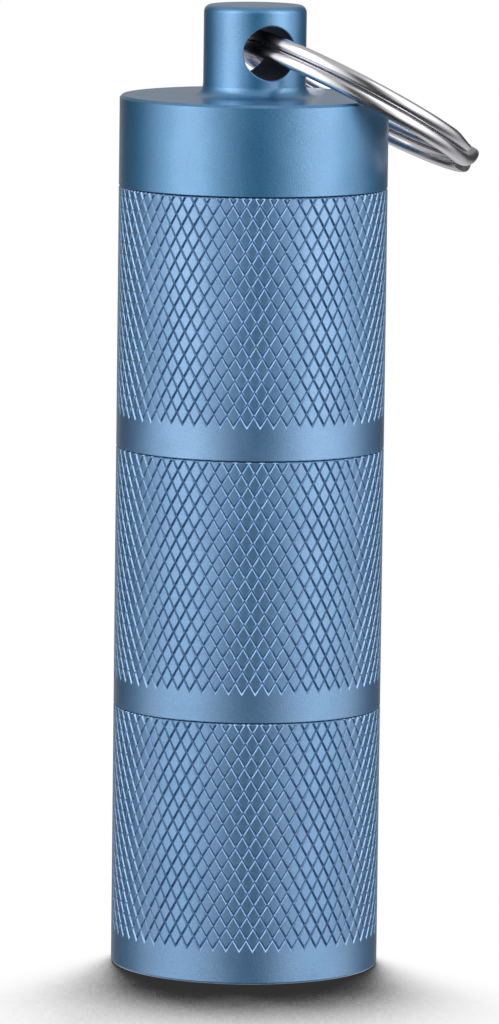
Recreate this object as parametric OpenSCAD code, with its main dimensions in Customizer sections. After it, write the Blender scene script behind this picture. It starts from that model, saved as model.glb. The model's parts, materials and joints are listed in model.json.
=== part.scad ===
// Pill fob keychain: three screw-together chambers, a cap with a drilled boss, and a split ring.
// The stack stands on the XY plane with its axis on +Z. The ring's hole runs along Y.
// All sizes are in millimetres.

/* [Body] */
// Outside diameter of the chambers and the cap
body_d = 25.4; // [24:0.1:32]
// Chamfer on the outer edges where two pieces meet
edge_chamfer = 0.15; // [0.05:0.05:0.4]
// Chamfer on the cap's top edge
rim_chamfer = 0.25; // [0.1:0.05:0.8]
// Gap between a shoulder and the rim below it
joint_gap = 0.1; // [0.05:0.01:0.3]

/* [Chambers] */
// Height of the lower chamber, base to rim
lower_h = 24.8; // [18:0.1:60]
// Height of the middle chamber, shoulder to rim
middle_h = 24.7; // [18:0.1:60]
// Height of the upper chamber, shoulder to rim
upper_h = 24.7; // [18:0.1:60]
// Thickness of each chamber's floor
floor_t = 1.6; // [1:0.1:3]
// Rounding of the base's outer edge
base_round = 0.2; // [0.1:0.1:2]
// Diameter of the well that runs down inside a spigot
well_d = 14.4; // [8:0.1:15]

/* [Screw joints] */
// Major diameter of the spigot's thread
thread_d = 20; // [18:0.1:20.4]
// Rise of the thread in one turn
thread_pitch = 1.5; // [1.4:0.05:1.8]
// Depth of the thread
thread_depth = 0.75; // [0.5:0.05:0.8]
// Turns of thread on a spigot
thread_turns = 2.25; // [1.5:0.25:3]
// Radial clearance between the two threads
thread_clear = 0.15; // [0.12:0.01:0.2]

/* [Seals] */
// Thickness of the seal ring's cord
seal_d = 1.5; // [1:0.1:1.6]
// Clearance of the seal ring to its groove
seal_clear = 0.06; // [0.03:0.01:0.15]
// Clearance of the seal ring to the mouth
mouth_clear = 0.1; // [0.05:0.01:0.2]

/* [Cap] */
// Height of the cap above its shoulder
cap_h = 8.6; // [6:0.1:20]
// Thickness of the cap's top over its recess
cap_top_t = 4; // [2:0.1:5]
// Diameter of the recess inside the cap
recess_d = 14; // [8:0.1:15]
// Diameter of the boss
boss_d = 9.7; // [8:0.1:14]
// Height of the boss above the cap
boss_h = 8.6; // [7:0.1:14]
// Radius of the fillet at the foot of the boss
boss_fillet = 1.2; // [0.4:0.1:1.6]
// Rounding of the boss's top edge
boss_round = 0.7; // [0.2:0.1:1.5]
// Diameter of the hole for the split ring
hole_d = 5.1; // [4.8:0.1:6]

/* [Split ring] */
// How far the split ring stays inside the body's width on each side
ring_inset = 0.2; // [0:0.05:1]
// Radial width of the wire
wire_w = 1.5; // [1.2:0.1:1.8]
// Thickness of one turn of the wire
wire_t = 1.22; // [1:0.02:1.3]
// Rounding of the wire's corners
wire_round = 0.45; // [0.2:0.05:0.5]
// Gap between the two turns
turn_gap = 0.05; // [0.03:0.01:0.1]
// Length of the crossing from one turn to the other, in degrees
cross_deg = 22; // [18:1:40]
// Where the crossing starts, in degrees round the ring
cross_start = -40; // [-60:1:20]
// Length of the bevel on the upper end of the wire, in degrees
bevel_deg = 17; // [5:1:30]
// How far the ring is drawn out past the middle of its hole
ring_pull = 0.15; // [0:0.05:0.3]
// How far the ring rides above the middle of its hole
ring_lift = 0.62; // [0:0.02:0.7]
// Gap between the leaning ring and the cap's edge
lean_clear = 0.12; // [0.05:0.01:0.3]

/* [Hidden] */
$fn = 96;
cord_sides = 32;                                     // facets round a seal ring's cord
corner_steps = 2;                                    // steps round each corner of the split ring's wire
cut = 1;                                             // overshoot of a cut past a face

// Radii of the body and the thread
body_r = body_d / 2;
major_r = thread_d / 2;
core_r = major_r - thread_depth;
bore_r = core_r + thread_clear;
flank = thread_depth * tan(30);
crest_w = 0.33;                                      // flat on top of the thread
flank_clear = 0.04;
thread_bite = 0.1;                                   // overlap of the ridge with its wall
thread_steps = 36;                                   // steps in one turn
spare_turns = 1.5;                                   // how far the mouth's groove runs past the ridge
lead_deg = 40;                                       // taper at each end of the thread
least_lead = 0.05;                                   // share of the thread left at its very ends
relief = 0.15;                                       // plain length between the groove and the thread
lead_chamfer = 0.4;                                  // chamfer where the thread starts in the mouth
mouth_chamfer = 0.2;                                 // chamfer on the mouth's inner edge

// Seal groove on the spigot and the seat in the mouth
seal_r = seal_d / 2;
squeeze_room = 0.375;                                // length that a squeezed cord gains
groove_h = seal_d + squeeze_room;
groove_r = major_r + mouth_clear + thread_clear - seal_d;
seat_r = groove_r + seal_clear + seal_d + mouth_clear;
groove_z = -groove_h;                                // lower side of the groove, below the shoulder
seat_h = groove_h + joint_gap;

// Lengths along the spigot
ridge_w = crest_w + 2 * flank;
ridge_top = groove_z - relief - ridge_w / 2;
ridge_bottom = ridge_top - thread_turns * thread_pitch;
tip_chamfer = 0.3;
spigot_h = -ridge_bottom + ridge_w / 2 + tip_chamfer;

// Heights of the joints and the cap
lower_joint = lower_h;
middle_joint = lower_joint + middle_h;
upper_joint = middle_joint + upper_h;
cap_top = upper_joint + cap_h;
hole_z = cap_top + boss_h / 2;
boss_r = boss_d / 2;
hole_r = hole_d / 2;

// Split ring: radii, the place of its centre and its lean
ring_r = body_r - ring_inset;
eye_r = ring_r - wire_w;
ring_half = wire_t + turn_gap / 2;
ring_reach = (ring_r + sqrt(eye_r * eye_r - boss_r * boss_r)) / 2 + ring_pull;
flattest_lean = 5;
steepest_lean = 60;
halvings = 20;                                       // of the range of leans, to find the resting one
ring_lean = lean_angle(flattest_lean, steepest_lean, halvings);

// Rise of the wire's rounded underside at a radius r of the ring
function edge_rise(r) =
    let (e = min(r - eye_r, ring_r - r))
    e >= wire_round ? 0 : wire_round - sqrt(max(0, wire_round * wire_round - pow(wire_round - e, 2)));

// Least gap between the ring at a lean and the two edges of the cap's chamfer
function lean_gap(lean) =
    min([for (a = [0:1:90], c = [0, rim_chamfer])
        let (x = (body_r - rim_chamfer + c) * cos(a),
             y = (body_r - rim_chamfer + c) * sin(a),
             drop = hole_z - cap_top + c,
             along = x * cos(lean) + drop * sin(lean) - ring_reach,
             above = x * sin(lean) - drop * cos(lean),
             r = norm([along, y]))
        r > eye_r && r < ring_r ? ring_lift - ring_half + edge_rise(r) - above : body_r]);

// Lean, in degrees below level, at which the ring rests on the cap's edge
function lean_angle(low, high, left) =
    left == 0 ? low
    : lean_gap((low + high) / 2) > lean_clear ? lean_angle((low + high) / 2, high, left - 1)
    : lean_angle(low, (low + high) / 2, left - 1);

// Faces of a tube swept through rings of points, with both ends closed
function tube_faces(rings, sides) = concat(
    [for (i = [0:rings - 2], j = [0:sides - 1])
        [i * sides + j, i * sides + (j + 1) % sides, (i + 1) * sides + j]],
    [for (i = [0:rings - 2], j = [0:sides - 1])
        [i * sides + (j + 1) % sides, (i + 1) * sides + (j + 1) % sides, (i + 1) * sides + j]],
    [[for (j = [sides - 1:-1:0]) j]],
    [[for (j = [0:sides - 1]) (rings - 1) * sides + j]]);

// Share of the full thread at step i of n, tapered at both ends
function lead_in(i, n) =
    let (steps = lead_deg / 360 * thread_steps)
    max(least_lead, min(1, i / steps, (n - i) / steps));

// Helical ridge from height z0 through some turns; grow widens it for the mating groove
module thread_ridge(wall_r, z0, turns, grow, cut_side) {
    n = round(turns * thread_steps);
    inner = wall_r - thread_bite;
    points = [for (i = [0:n])
        let (a = i * 360 / thread_steps, z = z0 + i * thread_pitch / thread_steps,
             s = cut_side ? 1 : lead_in(i, n),
             outer = wall_r + thread_depth * s,
             wide = crest_w / 2 + grow,
             base = wide + (thread_depth * s + thread_bite) * tan(30))
        each [[inner * cos(a), inner * sin(a), z - base], [outer * cos(a), outer * sin(a), z - wide],
              [outer * cos(a), outer * sin(a), z + wide], [inner * cos(a), inner * sin(a), z + base]]];
    polyhedron(points, tube_faces(n + 1, 4), convexity = 10);
}

// Solid of revolution from a half outline of [radius, height] points
module turned(outline) {
    rotate_extrude() polygon(outline);
}

// Threaded spigot below a shoulder at z = 0, with its seal groove
module spigot() {
    turned([[0, -spigot_h], [core_r - tip_chamfer, -spigot_h], [core_r, -spigot_h + tip_chamfer],
            [core_r, groove_z], [groove_r, groove_z], [groove_r, cut], [0, cut]]);
    thread_ridge(core_r, ridge_bottom, thread_turns, 0, false);
}

// Threaded mouth to cut from a chamber whose joint plane is at z = 0
module mouth() {
    rim = -joint_gap / 2;
    groove_turns = thread_turns + spare_turns;
    turned([[0, -seat_h - cut], [bore_r, -seat_h - cut], [bore_r, -seat_h - lead_chamfer],
            [bore_r + lead_chamfer, -seat_h], [seat_r, -seat_h], [seat_r, rim - mouth_chamfer],
            [seat_r + mouth_chamfer, rim], [seat_r + mouth_chamfer, cut], [0, cut]]);
    rotate([0, 0, -90])                              // a quarter turn back, so a quarter pitch down
        thread_ridge(bore_r, ridge_bottom - thread_pitch / 4, groove_turns, flank_clear, true);
}

// Outside of a chamber from z = 0 to its rim
module barrel(h, foot) {
    rim = h - joint_gap / 2;
    turned([[0, foot], [body_r - edge_chamfer, foot], [body_r, foot + edge_chamfer],
            [body_r, rim - edge_chamfer], [body_r - edge_chamfer, rim], [0, rim]]);
}

// A chamber that screws onto the one below it
module stacked_chamber(h) {
    difference() {
        union() {
            barrel(h, joint_gap / 2);
            spigot();
        }
        translate([0, 0, floor_t]) cylinder(r = bore_r, h = h);
        translate([0, 0, floor_t - spigot_h]) cylinder(d = well_d, h = spigot_h + cut);
        translate([0, 0, h]) mouth();
    }
}

module lower_chamber() {
    color("#3f73a8") difference() {
        rotate_extrude() difference() {
            polygon([[0, 0], [body_r, 0], [body_r, lower_h - joint_gap / 2 - edge_chamfer],
                     [body_r - edge_chamfer, lower_h - joint_gap / 2], [0, lower_h - joint_gap / 2]]);
            difference() {
                translate([body_r - base_round, -cut]) square([base_round + cut, base_round + cut]);
                translate([body_r - base_round, base_round]) circle(r = base_round);
            }
        }
        translate([0, 0, floor_t]) cylinder(r = bore_r, h = lower_h);
        translate([0, 0, lower_joint]) mouth();
    }
}

module middle_chamber() {
    color("#3f73a8") translate([0, 0, lower_joint]) stacked_chamber(middle_h);
}

module upper_chamber() {
    color("#3f73a8") translate([0, 0, middle_joint]) stacked_chamber(upper_h);
}

// Half outline of the cap and its boss, above the shoulder
module cap_outline() {
    top = cap_h + boss_h;
    difference() {
        union() {
            polygon([[0, joint_gap / 2], [body_r - edge_chamfer, joint_gap / 2],
                     [body_r, joint_gap / 2 + edge_chamfer], [body_r, cap_h - rim_chamfer],
                     [body_r - rim_chamfer, cap_h], [0, cap_h]]);
            translate([0, cap_h - cut]) square([boss_r, boss_h + cut]);
            translate([0, cap_h - cut]) square([boss_r + boss_fillet, boss_fillet + cut]);
        }
        translate([boss_r + boss_fillet, cap_h + boss_fillet]) circle(r = boss_fillet);
        difference() {
            translate([boss_r - boss_round, top - boss_round]) square(boss_round + cut);
            translate([boss_r - boss_round, top - boss_round]) circle(r = boss_round);
        }
    }
}

module cap() {
    color("#3f73a8") translate([0, 0, upper_joint]) difference() {
        union() {
            rotate_extrude() cap_outline();
            spigot();
        }
        translate([0, 0, -spigot_h - cut]) cylinder(d = recess_d, h = spigot_h + cut + cap_h - cap_top_t);
        translate([0, 0, cap_h + boss_h / 2]) rotate([90, 0, 0])
            cylinder(r = hole_r, h = 2 * body_d, center = true);
    }
}

// Seal ring in the groove of the spigot above a joint
module seal(joint) {
    color("#1c1c1e") translate([0, 0, joint - groove_h / 2])
        rotate_extrude() translate([groove_r + seal_clear + seal_r, 0]) circle(r = seal_r, $fn = cord_sides);
}

module cap_seal() {
    seal(upper_joint);
}

module upper_seal() {
    seal(middle_joint);
}

module middle_seal() {
    seal(lower_joint);
}

// Smooth step from 0 to 1
function smooth(t) =
    let (u = max(0, min(1, t)))
    u * u * (3 - 2 * u);

// Outline of the wire, as [radius, height] about its middle, with rounded corners
function wire_outline(thin) =
    [for (q = [0:3], k = [0:corner_steps])
        let (a = (q + k / corner_steps) * 90,
             cx = (q == 0 || q == 3 ? 1 : -1) * (wire_w / 2 - wire_round),
             cy = (q < 2 ? 1 : -1) * (wire_t / 2 - wire_round),
             y = cy + wire_round * sin(a))
        [cx + wire_round * cos(a), y > 0 ? y * thin : y]];

// The wire runs twice round, crosses from the lower turn to the upper, and is flat on both faces
module split_ring() {
    steps = 144;                                     // rings of points along the two turns
    gap_deg = 1.5;                                   // gap between an end of the wire and the crossing
    bevel_share = 0.6;                               // share of the upper half that the bevel takes off
    cross_end = cross_start + cross_deg;
    start = cross_end + gap_deg;
    finish = 720 + cross_start - gap_deg;
    layer = (wire_t + turn_gap) / 2;
    points = [for (i = [0:steps])
        let (a = start + (finish - start) * i / steps,
             t = (a - 360 - cross_start) / cross_deg,
             z = layer * (2 * smooth(t) - 1),
             thin = 1 - bevel_share * smooth(1 - (finish - a) / bevel_deg))
        each [for (p = wire_outline(thin))
            [(ring_r - wire_w / 2 + p[0]) * cos(a), (ring_r - wire_w / 2 + p[0]) * sin(a), z + p[1]]]];
    color("#c9cbd0") translate([0, 0, hole_z]) rotate([0, ring_lean, 0]) translate([ring_reach, 0, ring_lift])
        polyhedron(points, tube_faces(steps + 1, 4 * (corner_steps + 1)), convexity = 10);
}

cap();
upper_chamber();
middle_chamber();
lower_chamber();
cap_seal();
upper_seal();
middle_seal();
split_ring();
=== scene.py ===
import bmesh
import bpy
import json
import math
from mathutils import Matrix, Vector


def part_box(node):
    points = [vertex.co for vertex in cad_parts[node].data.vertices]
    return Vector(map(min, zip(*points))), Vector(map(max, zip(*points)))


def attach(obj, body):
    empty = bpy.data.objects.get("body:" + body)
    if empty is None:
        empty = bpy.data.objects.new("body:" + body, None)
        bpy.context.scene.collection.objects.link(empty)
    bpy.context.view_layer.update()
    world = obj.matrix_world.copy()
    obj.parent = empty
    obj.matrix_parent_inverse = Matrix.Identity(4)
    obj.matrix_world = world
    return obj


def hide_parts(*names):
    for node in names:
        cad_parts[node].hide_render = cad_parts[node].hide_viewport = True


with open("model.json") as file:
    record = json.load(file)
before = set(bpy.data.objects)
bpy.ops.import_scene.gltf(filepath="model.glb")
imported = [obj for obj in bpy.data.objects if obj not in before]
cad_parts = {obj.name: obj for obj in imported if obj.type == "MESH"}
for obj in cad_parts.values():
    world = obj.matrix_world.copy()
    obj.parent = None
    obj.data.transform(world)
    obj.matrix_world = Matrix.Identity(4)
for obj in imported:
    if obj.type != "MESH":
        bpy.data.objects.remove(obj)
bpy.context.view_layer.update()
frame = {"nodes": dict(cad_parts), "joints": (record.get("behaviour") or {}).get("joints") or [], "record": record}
mm = 0.001
print("frame loaded:", ", ".join(sorted(frame["nodes"])))

# Camera: a long lens, a little above the fob and turned to its left
cameraShot = {
    "azimuth": -19.15,      # degrees round the fob; the split ring's hole runs along 0
    "distance": 719.5,      # mm along the floor from the fob's axis
    "height": 136.28,       # mm above the floor
    "tiltDown": 7.371,      # degrees
    "roll": 0.717,          # degrees, leans the fob's top to the right
    "lens": 268.56,         # mm on a 36 mm sensor
    "shiftAcross": 0.00034,
}


def placeCamera(shot):
    turn, tilt, roll = (math.radians(shot[key]) for key in ("azimuth", "tiltDown", "roll"))
    forward = Vector((-math.sin(turn) * math.cos(tilt), math.cos(turn) * math.cos(tilt), -math.sin(tilt)))
    right = Vector((math.cos(turn), math.sin(turn), 0))
    up = right.cross(forward)
    cameraRight = math.cos(roll) * right + math.sin(roll) * up
    cameraUp = math.cos(roll) * up - math.sin(roll) * right
    camera = bpy.data.objects.new("camera", bpy.data.cameras.new("camera"))
    bpy.context.scene.collection.objects.link(camera)
    camera.data.lens = shot["lens"]
    camera.data.shift_x = shot["shiftAcross"]
    camera.data.clip_end = 20       # m
    camera.rotation_mode = "QUATERNION"
    camera.rotation_quaternion = Matrix((cameraRight, cameraUp, -forward)).transposed().to_quaternion()
    away = Vector((math.sin(turn), -math.cos(turn), 0)) * shot["distance"]
    camera.location = (away + Vector((0, 0, shot["height"]))) * mm
    bpy.context.scene.camera = camera


placeCamera(cameraShot)
print("camera placed")


# Materials

def linearColour(hexCode):
    channels = [int(hexCode[place:place + 2], 16) / 255 for place in (1, 3, 5)]
    return [c / 12.92 if c <= 0.04045 else ((c + 0.055) / 1.055) ** 2.4 for c in channels] + [1.0]


def addNode(tree, kind, settings, links=None):
    node = tree.nodes.new(kind)
    for key, value in settings.items():
        if isinstance(key, str) and key not in node.inputs:
            setattr(node, key, value)
    for key, value in settings.items():
        if not isinstance(key, str) or key in node.inputs:
            node.inputs[key].default_value = value
    for key, source in (links or {}).items():
        tree.links.new(source, node.inputs[key])
    return node


def newMaterial(name):
    material = bpy.data.materials.new(name)
    material.use_nodes = True
    material.node_tree.nodes.clear()
    output = addNode(material.node_tree, "ShaderNodeOutputMaterial", {})
    return material, material.node_tree, output


# Aluminium turned, bead-blasted and anodised blue: a satin metal under a clear, harder oxide film,
# so soft blue highlights carry a paler sheen, with a fine even grain
anodised = {
    # Each dye and its shade where the film is a little thinner. The chambers' pair is paler than the cap's:
    # painted sheen for the paler light on the lower body
    "capDyes": ("#3373A1", "#4B90BC"),
    "chamberDyesPaintedPaler": ("#5282AD", "#719EC8"),
    "roughness": 0.50,
    "filmRoughness": 0.24,
    "filmIor": 1.77,
    "grain": 0.13,              # mm between the pits that the beads leave, a little coarser than real
    "grainDepth": 0.016,        # mm
    "cloud": 4.0,               # mm across a faint change of shade
}


def makeAnodised(name, look, dyes):
    material, tree, output = newMaterial(name)
    place = addNode(tree, "ShaderNodeTexCoord", {})
    grain = addNode(tree, "ShaderNodeTexNoise",
                    {"Scale": 1 / (look["grain"] * mm), "Detail": 2.0, "Roughness": 0.6},
                    {"Vector": place.outputs["Object"]})
    cloud = addNode(tree, "ShaderNodeTexNoise",
                    {"Scale": 1 / (look["cloud"] * mm), "Detail": 3.0, "Roughness": 0.55},
                    {"Vector": place.outputs["Object"]})
    uneven = addNode(tree, "ShaderNodeMix", {"data_type": "FLOAT", 0: 0.6},
                     {2: cloud.outputs["Fac"], 3: grain.outputs["Fac"]})
    spread = addNode(tree, "ShaderNodeMapRange", {"From Min": 0.3, "From Max": 0.7},
                     {"Value": uneven.outputs[0]})
    shade = addNode(tree, "ShaderNodeMix",
                    {"data_type": "RGBA", 6: linearColour(dyes[0]), 7: linearColour(dyes[1])},
                    {0: spread.outputs["Result"]})
    bump = addNode(tree, "ShaderNodeBump", {"Strength": 1.0, "Distance": look["grainDepth"] * mm},
                   {"Height": grain.outputs["Fac"]})
    shader = addNode(tree, "ShaderNodeBsdfPrincipled",
                     {"Metallic": 1.0, "Roughness": look["roughness"], "Coat Weight": 1.0,
                      "Coat Roughness": look["filmRoughness"], "Coat IOR": look["filmIor"]},
                     {"Base Color": shade.outputs[2], "Normal": bump.outputs["Normal"],
                      "Coat Normal": bump.outputs["Normal"]})
    tree.links.new(shader.outputs["BSDF"], output.inputs["Surface"])
    return material


# The same film inside the drilled hole, which no bead reaches, with fine rings left by the drill; its dark colour
# is painted shade for the deep hole
drilled = {
    # painted shade: darker than the film outside, as the hole's depth would shade it
    "colour": "#1C2A38",
    "roughness": 0.45,
    "ringSpacing": 0.12,        # mm between tool marks, as coarse as they need to show
    "ringDepth": 0.003,         # mm
}


def makeDrilled(look):
    material, tree, output = newMaterial("drilledHolePaintedShade")
    place = addNode(tree, "ShaderNodeTexCoord", {})
    wavesPerMetre = 1 / (look["ringSpacing"] * mm)
    rings = addNode(tree, "ShaderNodeTexWave",
                    {"wave_type": "BANDS", "bands_direction": "Y", "Distortion": 0.6, "Detail": 1.0,
                     "Scale": wavesPerMetre * math.pi / 10},    # at scale 1 a wave is pi / 10 long
                    {"Vector": place.outputs["Object"]})
    bump = addNode(tree, "ShaderNodeBump", {"Strength": 1.0, "Distance": look["ringDepth"] * mm},
                   {"Height": rings.outputs["Fac"]})
    shader = addNode(tree, "ShaderNodeBsdfPrincipled",
                     {"Base Color": linearColour(look["colour"]), "Metallic": 1.0,
                      "Roughness": look["roughness"]},
                     {"Normal": bump.outputs["Normal"]})
    tree.links.new(shader.outputs["BSDF"], output.inputs["Surface"])
    return material


# Steel wire, tumbled and nickel plated: bright and near neutral, a soft mirror, duller where keys rub it
nickel = {
    "colour": "#D2D1D6",
    "roughness": 0.23,
    "dullRoughness": 0.32,      # where keys have rubbed it
    "wear": 3.0,                # mm across a rubbed patch
}


def makeNickel(look):
    material, tree, output = newMaterial("nickelPlate")
    place = addNode(tree, "ShaderNodeTexCoord", {})
    wear = addNode(tree, "ShaderNodeTexNoise",
                   {"Scale": 1 / (look["wear"] * mm), "Detail": 1.5, "Roughness": 0.5},
                   {"Vector": place.outputs["Object"]})
    dull = addNode(tree, "ShaderNodeMapRange",
                   {"From Min": 0.4, "From Max": 0.8, "To Min": look["roughness"],
                    "To Max": look["dullRoughness"]},
                   {"Value": wear.outputs["Fac"]})
    shader = addNode(tree, "ShaderNodeBsdfPrincipled",
                     {"Base Color": linearColour(look["colour"]), "Metallic": 1.0},
                     {"Roughness": dull.outputs["Result"]})
    tree.links.new(shader.outputs["BSDF"], output.inputs["Surface"])
    return material


# Nitrile rubber cord rings, moulded smooth: near black with a soft broad sheen
nitrile = {
    "colour": "#1B1B1D",
    "roughness": 0.45,
    "ior": 1.52,
    "mottle": 0.4,              # mm across the faint bloom on the rubber
}


def makeNitrile(look):
    material, tree, output = newMaterial("nitrileRubber")
    place = addNode(tree, "ShaderNodeTexCoord", {})
    mottle = addNode(tree, "ShaderNodeTexNoise", {"Scale": 1 / (look["mottle"] * mm), "Detail": 3.0},
                     {"Vector": place.outputs["Object"]})
    bloom = addNode(tree, "ShaderNodeMapRange",
                    {"To Min": look["roughness"] - 0.06, "To Max": look["roughness"] + 0.08},
                    {"Value": mottle.outputs["Fac"]})
    shader = addNode(tree, "ShaderNodeBsdfPrincipled",
                     {"Base Color": linearColour(look["colour"]), "IOR": look["ior"]},
                     {"Roughness": bloom.outputs["Result"]})
    tree.links.new(shader.outputs["BSDF"], output.inputs["Surface"])
    return material


capAluminium = makeAnodised("capAluminium", anodised, anodised["capDyes"])
# The chambers' paler dye pair is painted sheen, not a different film
chamberAluminium = makeAnodised("chamberAluminium", anodised, anodised["chamberDyesPaintedPaler"])
drilledHolePaintedShade = makeDrilled(drilled)
nickelPlate = makeNickel(nickel)
nitrileRubber = makeNitrile(nitrile)
print("materials made")


# Turned pieces. Sizes are in mm and heights run from each piece's joint plane or base

screw = {
    "pitch": 1.5,
    "depth": 0.75,
    "crest": 0.33,              # flat on top of the thread
    "flankTangent": math.tan(math.radians(30)),
    "turns": 2.25,
    "lead": 40 / 360,           # turns over which the thread rises to its full depth
    "start": -5.998,            # height of the thread's lower end below the shoulder
    "radial": 0.15,             # clearance of the mouth's thread, to the side and up
    "axial": 0.04,
    "runBack": 0.25,            # turns that the mouth's groove starts before the spigot's ridge
}

spigot = {
    "coreRadius": 9.25,
    "grooveRadius": 8.75,
    "groove": 1.875,            # height of the seal's groove, from the shoulder down
    "length": 6.896,
    "tipChamfer": 0.3,
}

mouth = {
    "boreRadius": 9.4,
    "leadChamfer": 0.4,
    "seatRadius": 10.41,
    "seatDepth": 1.975,
    "chamfer": 0.2,
}

barrel = {
    "radius": (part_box("lower_chamber")[1].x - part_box("lower_chamber")[0].x) / 2 / mm,
    "edgeChamfer": 0.09,
    "halfGap": 0.04,            # half the gap between a shoulder and the rim below it
    "floor": 1.6,
    "wellRadius": 7.2,
    "baseRound": 0.2,
}

knurl = {
    "around": 63,               # diamonds round the body
    "diamondHeight": 2.183,
    "lean": 1.04,               # degrees that a column of diamonds leans round the body
    "grooveWidth": 0.29,
    "grooveDepth": 0.125,
    "shoulder": 0.03,           # rounding left on each crest by the blasting
    "shoulderDepth": 0.012,
    # Each chamber's own: from its shoulder or base up to the lowest groove tips, and half diamonds round
    "plainBand": {"lower": 3.27, "middle": 2.89, "upper": 3.29},
    "start": {"lower": -0.90, "middle": -0.98, "upper": -0.72},
}

columns = 2 * knurl["around"]   # facets round every turned surface, so the diamonds' corners meet them


def ringPoint(radius, column, height):
    angle = 2 * math.pi * column / columns
    return Vector((radius * math.cos(angle), radius * math.sin(angle), height))


def addFace(faces, points, skin=False):
    faces.append((points, skin))    # skin marks the faces that lie on the barrel's own surface


def turnOutline(faces, outline, skin=False, slip=0):
    for (lowRadius, low), (highRadius, high) in zip(outline, outline[1:]):
        for column in range(columns):
            addFace(faces, [ringPoint(lowRadius, column, low), ringPoint(lowRadius, column + 1, low),
                            ringPoint(highRadius, column + 1 + slip, high),
                            ringPoint(highRadius, column + slip, high)], skin)


def arc(centreRadius, centreHeight, radius, fromDegrees, toDegrees, steps):
    swept = toDegrees - fromDegrees
    angles = [math.radians(fromDegrees + swept * step / steps) for step in range(steps + 1)]
    return [(centreRadius + radius * math.cos(a), centreHeight + radius * math.sin(a)) for a in angles]


def threadRise(column, height, start, crest, turns, outward):
    along = (height - start) / screw["pitch"] - column / columns
    turn = round(along)
    position = turn + column / columns
    # The ridge tapers at both ends, and the groove starts further back and runs out through the seat
    ends = [position, turns - position] if outward else [position + screw["runBack"]]
    share = max(0, min(1, min(ends) / screw["lead"]))
    full = screw["depth"] * share
    aside = abs(along - turn) * screw["pitch"]
    flank = full + (crest / 2 - aside) / screw["flankTangent"]
    return max(0, min(full, flank))


def threadedWall(faces, low, high, start, crest, turns, wallRadius, outward):
    foot = crest / 2 + screw["depth"] * screw["flankTangent"]
    # Rows along the thread, with spare turns past both ends, which are pressed flat there
    span = range(-2, math.ceil(turns) + 6)
    rows = [(turn, edge) for turn in span for edge in (-foot, -crest / 2, crest / 2, foot)]

    def wallPoint(row, column):
        height = start + screw["pitch"] * (row[0] + column / columns) + row[1]
        height = max(low, min(high, height))
        radius = wallRadius(height) if outward else mouth["boreRadius"]
        radius += threadRise(column, height, start, crest, turns, outward)
        return ringPoint(max(radius, wallRadius(height)), column, height)

    for lower, upper in zip(rows, rows[1:]):
        for column in range(columns):
            quad = [wallPoint(lower, column), wallPoint(lower, column + 1),
                    wallPoint(upper, column + 1), wallPoint(upper, column)]
            addFace(faces, quad if outward else quad[::-1])
    return [wallPoint(rows[-1], column) for column in range(columns)]


def addSpigot(faces, joint, innerOutline):
    tip = joint - spigot["length"]
    core = spigot["coreRadius"]
    tipEdge = [(core - spigot["tipChamfer"], tip), (core, tip + spigot["tipChamfer"])]
    turnOutline(faces, innerOutline + tipEdge)
    threadedWall(faces, tip + spigot["tipChamfer"], joint - spigot["groove"], joint + screw["start"],
                 screw["crest"], screw["turns"], lambda height: core, True)
    shoulder = joint + barrel["halfGap"]
    grooveFoot = joint - spigot["groove"]
    turnOutline(faces, [(core, grooveFoot), (spigot["grooveRadius"], grooveFoot),
                        (spigot["grooveRadius"], shoulder),
                        (barrel["radius"] - barrel["edgeChamfer"], shoulder),
                        (barrel["radius"], shoulder + barrel["edgeChamfer"])])


def addMouth(faces, joint, inside):
    rim = joint - barrel["halfGap"]
    seat = joint - mouth["seatDepth"]
    bore = mouth["boreRadius"]
    start = joint + screw["start"]                  # the same helix as the ridge's, so the two mesh
    crest = screw["crest"] + 2 * screw["axial"]

    def wallRadius(height):
        return bore + max(0, height - (seat - mouth["leadChamfer"]))

    turnOutline(faces, [(mouth["seatRadius"] + mouth["chamfer"], rim),
                        (mouth["seatRadius"], rim - mouth["chamfer"]), (mouth["seatRadius"], seat)])
    foot = crest / 2 + screw["depth"] * screw["flankTangent"]
    plain = start - screw["runBack"] * screw["pitch"] - foot - screw["radial"]
    opening = threadedWall(faces, plain, seat, start, crest, screw["turns"] + 2, wallRadius, False)
    turnOutline(faces, [(bore, plain), (bore, inside[0][1])] + inside)
    step = [ringPoint(mouth["seatRadius"], column, seat) for column in range(columns)]
    for column in range(columns):
        following = (column + 1) % columns
        addFace(faces, [step[column], step[following], opening[following], opening[column]])


def clipBelow(points, top):
    kept = []
    for here, there in zip(points, points[1:] + points[:1]):
        if here.z <= top:
            kept.append(here)
        if (here.z - top) * (there.z - top) < 0:
            lower, upper = sorted((here, there), key=lambda point: point.z)
            crossed = lower.lerp(upper, (top - lower.z) / (upper.z - lower.z))
            kept.append(Vector((crossed.x, crossed.y, top)))
    return kept


def angleOf(point):
    return math.atan2(point.y, point.x) % (2 * math.pi)


def joinLoops(faces, outer, inner):
    outer, inner = sorted(outer, key=angleOf), sorted(inner, key=angleOf)

    def place(loop, step):
        return angleOf(loop[step % len(loop)]) + 2 * math.pi * (step // len(loop))

    i = j = 0
    while i < len(outer) or j < len(inner):
        if j == len(inner) or (i < len(outer) and place(outer, i + 1) <= place(inner, j + 1)):
            addFace(faces, [outer[i % len(outer)], outer[(i + 1) % len(outer)], inner[j % len(inner)]])
            i += 1
        else:
            addFace(faces, [outer[i % len(outer)], inner[(j + 1) % len(inner)], inner[j % len(inner)]])
            j += 1


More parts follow.
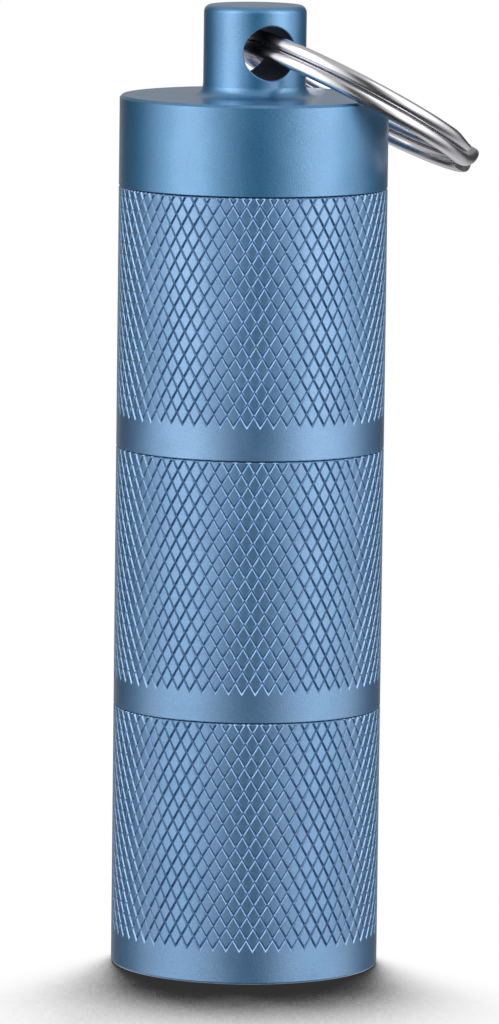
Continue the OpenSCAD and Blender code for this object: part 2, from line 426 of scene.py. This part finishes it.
def addKnurl(faces, tips, rim, start):
    radius = barrel["radius"]
    halfHeight = knurl["diamondHeight"] / 2
    halfWidth = math.pi * radius / knurl["around"]
    apothem = halfWidth * halfHeight / math.hypot(halfWidth, halfHeight)
    top = rim - barrel["edgeChamfer"]
    halfGroove = knurl["grooveWidth"] / 2
    # Each level of a diamond is a smaller copy of it: its share of the full diamond, and its depth
    levels = [(1, knurl["grooveDepth"]),
              (1 - (halfGroove - knurl["shoulder"]) / apothem, knurl["shoulderDepth"]),
              (1 - halfGroove / apothem, 0)]

    foot = tips - (1 - levels[-1][0]) * halfHeight
    lean = math.tan(math.radians(knurl["lean"])) / halfWidth

    def wallPoint(column, height, depth):
        return ringPoint(radius - depth, column + start + lean * (height - foot), height)

    def cut(points, skin=False):
        clipped = clipBelow(points, top)
        if len(clipped) > 2:
            addFace(faces, clipped, skin)

    def diamond(column, centre, share, depth):
        tall = share * halfHeight
        return [wallPoint(column + share, centre, depth), wallPoint(column, centre + tall, depth),
                wallPoint(column - share, centre, depth), wallPoint(column, centre - tall, depth)]

    rows = math.ceil((top - tips) / halfHeight) + 1
    for row in range(1, rows + 1):
        for column in range((row + 1) % 2, columns, 2):
            rings = [diamond(column, tips + row * halfHeight, *level) for level in levels]
            for outer, inner in zip(rings, rings[1:]):
                for corner in range(4):
                    after = (corner + 1) % 4
                    cut([outer[corner], outer[after], inner[after], inner[corner]])
            cut(rings[-1], True)

    # The lowest row is open below: its grooves end in tips, and its flats run on into the plain band
    for column in range(1, columns, 2):
        for side in (-1, 1):
            lines = [(wallPoint(column + side, tips - (1 - share) * halfHeight, depth),
                      wallPoint(column, tips + share * halfHeight, depth)) for share, depth in levels]
            for (tip, peak), (innerTip, innerPeak) in zip(lines, lines[1:]):
                quad = [tip, innerTip, innerPeak, peak]
                cut(quad if side < 0 else quad[::-1])
            low = wallPoint(column, lines[-1][0].z, 0)
            flat = [lines[-1][0], low, lines[-1][1]]
            cut(flat if side < 0 else flat[::-1], True)

    # The rim cuts the pattern straight, so its chamfer is notched by the grooves
    notched = {}
    for points, skin in faces:
        for point in points:
            onSkin = math.hypot(point.x, point.y) > radius - knurl["grooveDepth"] - 0.01
            if onSkin and abs(point.z - top) < 1e-4:
                notched[round(angleOf(point), 6)] = point
    lower = [notched[angle] for angle in sorted(notched)]
    upper = []
    for point in lower:
        reach = math.hypot(point.x, point.y)
        inside = min(reach, radius - barrel["edgeChamfer"]) / reach
        upper.append(Vector((point.x * inside, point.y * inside, rim)))
    for here in range(len(lower)):
        there = (here + 1) % len(lower)
        addFace(faces, [lower[here], lower[there], upper[there], upper[here]])
    mouthRadius = mouth["seatRadius"] + mouth["chamfer"]
    joinLoops(faces, upper, [ringPoint(mouthRadius, column, rim) for column in range(columns)])
    return foot


def meshFromFaces(name, faces, sharpAngle=35):
    places, points, polygons, normals = {}, [], [], []
    for corners, skin in faces:
        loop = []
        for corner in corners:
            key = tuple(round(value * 1000) for value in corner)
            if key not in places:
                places[key] = len(points)
                points.append(corner * mm)
            if not loop or places[key] != loop[-1]:
                loop.append(places[key])
        if loop and loop[0] == loop[-1]:
            loop.pop()
        if len(set(loop)) < 3:
            continue
        polygons.append(loop)
        for index in loop:
            outward = Vector((points[index].x, points[index].y, 0))
            normals.append(outward.normalized() if skin else Vector((0, 0, 0)))
    mesh = bpy.data.meshes.new(name)
    mesh.from_pydata(points, [], polygons)
    mesh.shade_smooth()
    mesh.set_sharp_from_angle(angle=math.radians(sharpAngle))
    mesh.normals_split_custom_set(normals)
    return mesh


def addPiece(name, mesh, materials, body, slotName, *nodes):
    piece = bpy.data.objects.new(name, mesh)
    bpy.context.scene.collection.objects.link(piece)
    for material in materials:
        piece.data.materials.append(material)
    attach(piece, body)
    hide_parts(*nodes)
    return piece


turns = [joint for joint in frame["joints"] if joint["type"] == "hinge"]
jointHeight = {turn["child"]: turn["pos_m"][2] / mm for turn in turns}


def makeChamber(body, node, foot, top):
    faces = []
    if foot == 0:
        rounding = barrel["baseRound"]
        turnOutline(faces, [(0, 0)] + arc(barrel["radius"] - rounding, rounding, rounding, -90, 0, 4))
        bandFoot = rounding
        inside = [(0, barrel["floor"])]
    else:
        wellFloor = foot - spigot["length"] + barrel["floor"]
        addSpigot(faces, foot, [(0, foot - spigot["length"])])
        bandFoot = foot + barrel["halfGap"] + barrel["edgeChamfer"]
        well = barrel["wellRadius"]
        inside = [(well, foot + barrel["floor"]), (well, wellFloor), (0, wellFloor)]
    start = knurl["start"][body]
    bandTop = addKnurl(faces, foot + knurl["plainBand"][body], top - barrel["halfGap"], start)
    turnOutline(faces, [(barrel["radius"], bandFoot), (barrel["radius"], bandTop)], True, start)
    addMouth(faces, top, inside)
    mesh = meshFromFaces(node, faces, 25)
    return addPiece(node + "_knurled", mesh, [chamberAluminium], body, "anodised_blue", node)


makeChamber("lower", "lower_chamber", 0, jointHeight["middle"])
makeChamber("middle", "middle_chamber", jointHeight["middle"], jointHeight["upper"])
makeChamber("upper", "upper_chamber", jointHeight["upper"], jointHeight["cap"])
print("chambers made")

capSizes = {
    "height": 8.6,              # above the shoulder
    "rimChamfer": 0.25,
    "recessRadius": 7.0,
    "topThickness": 4.0,
    "bossRadius": 4.85,
    "bossHeight": 8.6,
    "bossFillet": 1.2,
    "bossRound": 0.7,
    "holeRadius": 2.55,
    "holeChamfer": 0.1,
}


def splitLargeFaces(mesh):
    work = bmesh.new()
    work.from_mesh(mesh)
    bmesh.ops.triangulate(work, faces=[face for face in work.faces if len(face.verts) > 4])
    work.to_mesh(mesh)
    work.free()


def makeCap():
    joint = jointHeight["cap"]
    shelf = joint + capSizes["height"]
    top = shelf + capSizes["bossHeight"]
    ceiling = shelf - capSizes["topThickness"]
    boss, fillet, rounding = capSizes["bossRadius"], capSizes["bossFillet"], capSizes["bossRound"]
    faces = []
    tip = joint - spigot["length"]
    recess = capSizes["recessRadius"]
    addSpigot(faces, joint, [(0, ceiling), (recess, ceiling), (recess, tip)])
    outside = [(barrel["radius"], joint + barrel["halfGap"] + barrel["edgeChamfer"]),
               (barrel["radius"], shelf - capSizes["rimChamfer"]),
               (barrel["radius"] - capSizes["rimChamfer"], shelf)]
    outside += arc(boss + fillet, shelf + fillet, fillet, 270, 180, 10)
    outside += arc(boss - rounding, top - rounding, rounding, 0, 90, 8) + [(0, top)]
    turnOutline(faces, outside)
    mesh = meshFromFaces("cap", faces)
    cap = addPiece("cap_turned", mesh, [capAluminium, drilledHolePaintedShade], "cap", "anodised_blue", "cap")

    # The hole is cut with a tool whose ends flare where they leave the boss, which chamfers its mouths
    hole, chamfer, steps = capSizes["holeRadius"], capSizes["holeChamfer"], 96
    axisHeight = shelf + capSizes["bossHeight"] / 2
    rings = []
    for side, reach, radius in ((-1, 1, hole + chamfer + 1), (-1, -chamfer, hole), (1, -chamfer, hole),
                                (1, 1, hole + chamfer + 1)):
        ring = []
        for step in range(steps):
            angle = 2 * math.pi * step / steps
            surface = math.sqrt(boss ** 2 - (hole * math.cos(angle)) ** 2)
            ring.append(Vector((radius * math.cos(angle), side * (surface + reach),
                                axisHeight + radius * math.sin(angle))))
        rings.append(ring)
    cutterFaces = [(rings[0], False), (rings[-1][::-1], False)]
    for near, far in zip(rings, rings[1:]):
        for step in range(steps):
            after = (step + 1) % steps
            cutterFaces.append(([near[after], near[step], far[step], far[after]], False))
    cutter = bpy.data.objects.new("holeCutter", meshFromFaces("holeCutter", cutterFaces))
    bpy.context.scene.collection.objects.link(cutter)
    cutting = cap.modifiers.new("hole", "BOOLEAN")
    cutting.object = cutter
    cutting.solver = "EXACT"
    cap.data = bpy.data.meshes.new_from_object(cap.evaluated_get(bpy.context.evaluated_depsgraph_get()))
    cap.modifiers.clear()
    bpy.data.objects.remove(cutter)
    cap.data.name = "cap"
    splitLargeFaces(cap.data)
    cap.data.set_sharp_from_angle(angle=math.radians(30))
    normals = []
    for face in cap.data.polygons:
        # Faces inside the hole take the second material, whose dark colour is painted shade
        across = math.hypot(face.center.x / mm, face.center.z / mm - axisHeight)
        if across < hole + chamfer * 0.2 and abs(face.center.y / mm) < boss:
            face.material_index = 1
        radial = Vector((face.center.x, face.center.y, 0))
        onWall = abs(radial.length / mm - boss) < 0.02 and face.normal.dot(radial.normalized()) > 0.99
        for corner in face.vertices:
            place = cap.data.vertices[corner].co
            normals.append(Vector((place.x, place.y, 0)).normalized() if onWall else Vector((0, 0, 0)))
    cap.data.normals_split_custom_set(normals)
    return cap


makeCap()
print("cap made")

# Split ring: spring wire wound twice round, crossing from the lower turn to the upper in front of its ends
splitRing = {
    "radius": 12.5,             # outside
    "wireWidth": 1.5,           # across the ring
    "wireThickness": 1.22,      # one turn
    "corner": 0.5,              # rounding of the wire
    "turnGap": 0.05,
    "crossStart": -40,          # degrees round the ring
    "crossLength": 22,
    "endGap": 1.5,
    "bevelLength": 17,
    "bevelShare": 0.6,
    "crossBulge": 0.25,         # how far the crossing stands out
}


def smoothStep(share):
    share = max(0, min(1, share))
    return share * share * (3 - 2 * share)


def wireOutline(thin):
    corner, outline = splitRing["corner"], []
    for quarter in range(4):
        for step in range(6):
            angle = math.radians((quarter + step / 5) * 90)
            across = (1 if quarter in (0, 3) else -1) * (splitRing["wireWidth"] / 2 - corner)
            above = (1 if quarter < 2 else -1) * (splitRing["wireThickness"] / 2 - corner)
            above += corner * math.sin(angle)
            outline.append((across + corner * math.cos(angle), above * thin if above > 0 else above))
    return outline


def makeSplitRing():
    eye = next(mount for mount in frame["record"]["mounts"] if mount["name"] == "ring_eye")
    normal = Vector(eye["axis"]).normalized()
    far = Vector((0, 1, 0))
    lean = far.cross(normal)
    centre = Vector(eye["pos_m"]) / mm
    steps = 360
    crossEnd = splitRing["crossStart"] + splitRing["crossLength"]
    start = crossEnd + splitRing["endGap"]
    finish = 720 + splitRing["crossStart"] - splitRing["endGap"]
    layer = (splitRing["wireThickness"] + splitRing["turnGap"]) / 2
    middle = splitRing["radius"] - splitRing["wireWidth"] / 2
    rings = []
    for step in range(steps + 1):
        degrees = start + (finish - start) * step / steps
        crossing = (degrees - 360 - splitRing["crossStart"]) / splitRing["crossLength"]
        height = layer * (2 * smoothStep(crossing) - 1)
        bulge = splitRing["crossBulge"] * math.exp(-((crossing - 0.5) / 0.6) ** 2)
        thin = 1 - splitRing["bevelShare"] * smoothStep(1 - (finish - degrees) / splitRing["bevelLength"])
        outward = math.cos(math.radians(degrees)) * lean + math.sin(math.radians(degrees)) * far
        rings.append([centre + outward * (middle + bulge + across) + normal * (height + above)
                      for across, above in wireOutline(thin)])
    faces = [(rings[0], False), (rings[-1][::-1], False)]
    sides = len(rings[0])
    for near, beyond in zip(rings, rings[1:]):
        for side in range(sides):
            after = (side + 1) % sides
            addFace(faces, [near[after], near[side], beyond[side], beyond[after]])
    mesh = meshFromFaces("split_ring", faces)
    return addPiece("split_ring_wire", mesh, [nickelPlate], "ring", "plated_steel", "split_ring")


makeSplitRing()
print("split ring made")

for seal in ("cap_seal", "upper_seal", "middle_seal"):
    sealData = frame["nodes"][seal].data
    sealData.materials.clear()
    sealData.materials.append(nitrileRubber)
print("seals finished")

# Studio: a white floor, two tall softboxes in front, and darker gaps between them that only metal shows
studio = {
    "floor": "#F4F4F4",         # matt paper
    "floorSize": 8.0,           # m
    "floorDrop": 0.05,          # mm under the fob's base, so the two faces don't flicker
    "worldLevel": 0.6,          # light from all round, on everything but metal
    "softboxLight": 2.0,        # W
    "softboxSize": (0.35, 0.9), # m, wide and tall
    "softboxAngles": (-56, 60), # degrees from the camera's side
    "softboxDistance": 0.55,    # m
    # What metal sees round the fob: degrees from the gap in front, and how bright it is there
    "aboveHorizon": ((0, 0.01), (9, 0.01), (31, 2.0), (92, 2.0), (114, 0.08), (150, 0.08), (166, 0.46)),
    "belowHorizon": ((0, 0.01), (9, 0.01), (31, 1.4), (92, 1.4), (114, 0.06), (150, 0.06), (166, 0.40)),
    "nearFloor": ((0, 0.04), (85, 0.14), (115, 0.8), (180, 1.0)),
    "gapTurn": 4,               # degrees that the gap in front is off the camera's side
    "ceiling": 0.8,             # how bright it is overhead
    # Degrees of slope over which one of these gives way to the next
    "floorBlend": (-32, -10),
    "horizonBlend": (0, 20.5),
    "ceilingBlend": (23.6, 48.6),
    "shadowReach": 0.06,        # m over which the fob shades the floor
    "shadowTilt": 90,           # degrees that the light on the floor comes from behind
    "shadowRange": (0.70, 0.88),    # how open the floor lies where the shadow is darkest, and where it ends
    "shadowDepth": 0.03,        # how bright the floor still is where the shadow is darkest
}


def reflectedLevel(tree):
    # The light that metal sees in each direction: first how far it is turned from the gap in front, 0 to 1
    place = addNode(tree, "ShaderNodeTexCoord", {})
    parts = addNode(tree, "ShaderNodeSeparateXYZ", {}, {0: place.outputs["Generated"]})
    front = addNode(tree, "ShaderNodeMath", {"operation": "MULTIPLY", 1: -1.0}, {0: parts.outputs["Y"]})
    angle = addNode(tree, "ShaderNodeMath", {"operation": "ARCTAN2"},
                    {0: parts.outputs["X"], 1: front.outputs[0]})
    gap = math.radians(cameraShot["azimuth"] + studio["gapTurn"])
    turned = addNode(tree, "ShaderNodeMath", {"operation": "SUBTRACT", 1: gap}, {0: angle.outputs[0]})
    wrapped = addNode(tree, "ShaderNodeMath", {"operation": "WRAP", 1: math.pi, 2: -math.pi},
                      {0: turned.outputs[0]})
    either = addNode(tree, "ShaderNodeMath", {"operation": "ABSOLUTE"}, {0: wrapped.outputs[0]})
    share = addNode(tree, "ShaderNodeMath", {"operation": "DIVIDE", 1: math.pi}, {0: either.outputs[0]})

    levels = {}
    for name in ("aboveHorizon", "belowHorizon", "nearFloor"):
        ramp = addNode(tree, "ShaderNodeValToRGB", {}, {0: share.outputs[0]})
        stops = ramp.color_ramp.elements
        stops.remove(stops[1])
        for degrees, level in studio[name]:
            stop = stops.new(degrees / 180) if degrees else stops[0]
            stop.color = (level, level, level, 1)
        levels[name] = ramp.outputs["Color"]

    # Then the three levels and the ceiling, blended by how steeply the direction points up or down
    blends = {}
    for name in ("horizonBlend", "floorBlend", "ceilingBlend"):
        low, high = (math.sin(math.radians(slope)) for slope in studio[name])
        blend = addNode(tree, "ShaderNodeMapRange",
                        {"interpolation_type": "SMOOTHSTEP", "From Min": low, "From Max": high},
                        {"Value": parts.outputs["Z"]})
        blends[name] = blend.outputs["Result"]
    standing = addNode(tree, "ShaderNodeMix", {"data_type": "FLOAT"},
                       {0: blends["horizonBlend"], 2: levels["belowHorizon"], 3: levels["aboveHorizon"]})
    grounded = addNode(tree, "ShaderNodeMix", {"data_type": "FLOAT"},
                       {0: blends["floorBlend"], 2: levels["nearFloor"], 3: standing.outputs[0]})
    whole = addNode(tree, "ShaderNodeMix", {"data_type": "FLOAT", 3: studio["ceiling"]},
                    {0: blends["ceilingBlend"], 2: grounded.outputs[0]})
    return whole.outputs[0]


def makeWorld():
    world = bpy.data.worlds.new("studio")
    bpy.context.scene.world = world
    world.use_nodes = True
    world.cycles.sampling_method = "NONE"
    tree = world.node_tree
    tree.nodes.clear()
    output = addNode(tree, "ShaderNodeOutputWorld", {})
    path = addNode(tree, "ShaderNodeLightPath", {})
    seen = addNode(tree, "ShaderNodeMath", {"operation": "MAXIMUM"},
                   {0: path.outputs["Is Camera Ray"], 1: path.outputs["Is Transmission Ray"]})
    plain = addNode(tree, "ShaderNodeMapRange", {"To Min": studio["worldLevel"], "To Max": 1.0},
                    {"Value": seen.outputs[0]})
    metal = reflectedLevel(tree)
    level = addNode(tree, "ShaderNodeMix", {"data_type": "FLOAT"},
                    {0: path.outputs["Is Glossy Ray"], 2: plain.outputs["Result"], 3: metal})
    light = addNode(tree, "ShaderNodeBackground", {}, {"Strength": level.outputs[0]})
    tree.links.new(light.outputs["Background"], output.inputs["Surface"])


def cameraSide(degrees, distance, height):
    angle = math.radians(cameraShot["azimuth"] + degrees)
    return Vector((math.sin(angle) * distance, -math.cos(angle) * distance, height))


def makeFloor():
    # Lit by the lamps for all else, but the camera sees it as white, less the shade of what stands close by
    half = studio["floorSize"] / 2
    mesh = bpy.data.meshes.new("floor")
    corners = [(-half, -half, 0), (half, -half, 0), (half, half, 0), (-half, half, 0)]
    mesh.from_pydata(corners, [], [(0, 1, 2, 3)])
    floor = bpy.data.objects.new("floor", mesh)
    bpy.context.scene.collection.objects.link(floor)
    floor.location.z = -studio["floorDrop"] * mm
    material, tree, output = newMaterial("paperFloor")
    material.cycles.emission_sampling = "NONE"
    path = addNode(tree, "ShaderNodeLightPath", {})
    tilt = math.radians(studio["shadowTilt"])
    back = -cameraSide(0, math.sin(tilt), 0)
    towards = addNode(tree, "ShaderNodeCombineXYZ", {0: back.x, 1: back.y, 2: math.cos(tilt)})
    shade = addNode(tree, "ShaderNodeAmbientOcclusion", {"samples": 32, "Distance": studio["shadowReach"]},
                    {"Normal": towards.outputs[0]})
    darkest, lightest = studio["shadowRange"]
    shadow = addNode(tree, "ShaderNodeMapRange",
                     {"interpolation_type": "SMOOTHSTEP", "From Min": darkest, "From Max": lightest,
                      "To Min": studio["shadowDepth"]},
                     {"Value": shade.outputs["AO"]})
    white = addNode(tree, "ShaderNodeEmission", {}, {"Strength": shadow.outputs["Result"]})
    paper = addNode(tree, "ShaderNodeBsdfDiffuse", {"Color": linearColour(studio["floor"])})
    seen = addNode(tree, "ShaderNodeMath", {"operation": "MAXIMUM"},
                   {0: path.outputs["Is Camera Ray"], 1: path.outputs["Is Transmission Ray"]})
    both = addNode(tree, "ShaderNodeMixShader", {},
                   {0: seen.outputs[0], 1: paper.outputs[0], 2: white.outputs[0]})
    tree.links.new(both.outputs[0], output.inputs["Surface"])
    floor.visible_glossy = False    # metal sees the surroundings below the horizon instead
    mesh.materials.append(material)


def makeSoftbox(degrees):
    lamp = bpy.data.lights.new("softbox", "AREA")
    lamp.shape = "RECTANGLE"
    lamp.size, lamp.size_y = studio["softboxSize"]
    lamp.energy = studio["softboxLight"]
    box = bpy.data.objects.new("softbox", lamp)
    bpy.context.scene.collection.objects.link(box)
    box.location = cameraSide(degrees, studio["softboxDistance"], studio["softboxSize"][1] / 2)
    aim = Vector((0, 0, box.location.z)) - box.location
    box.rotation_mode = "QUATERNION"
    box.rotation_quaternion = aim.to_track_quat("-Z", "Y")
    box.visible_camera = False


makeWorld()
makeFloor()
for angle in studio["softboxAngles"]:
    makeSoftbox(angle)
bpy.context.scene.view_settings.view_transform = "Standard"
print("studio lit")
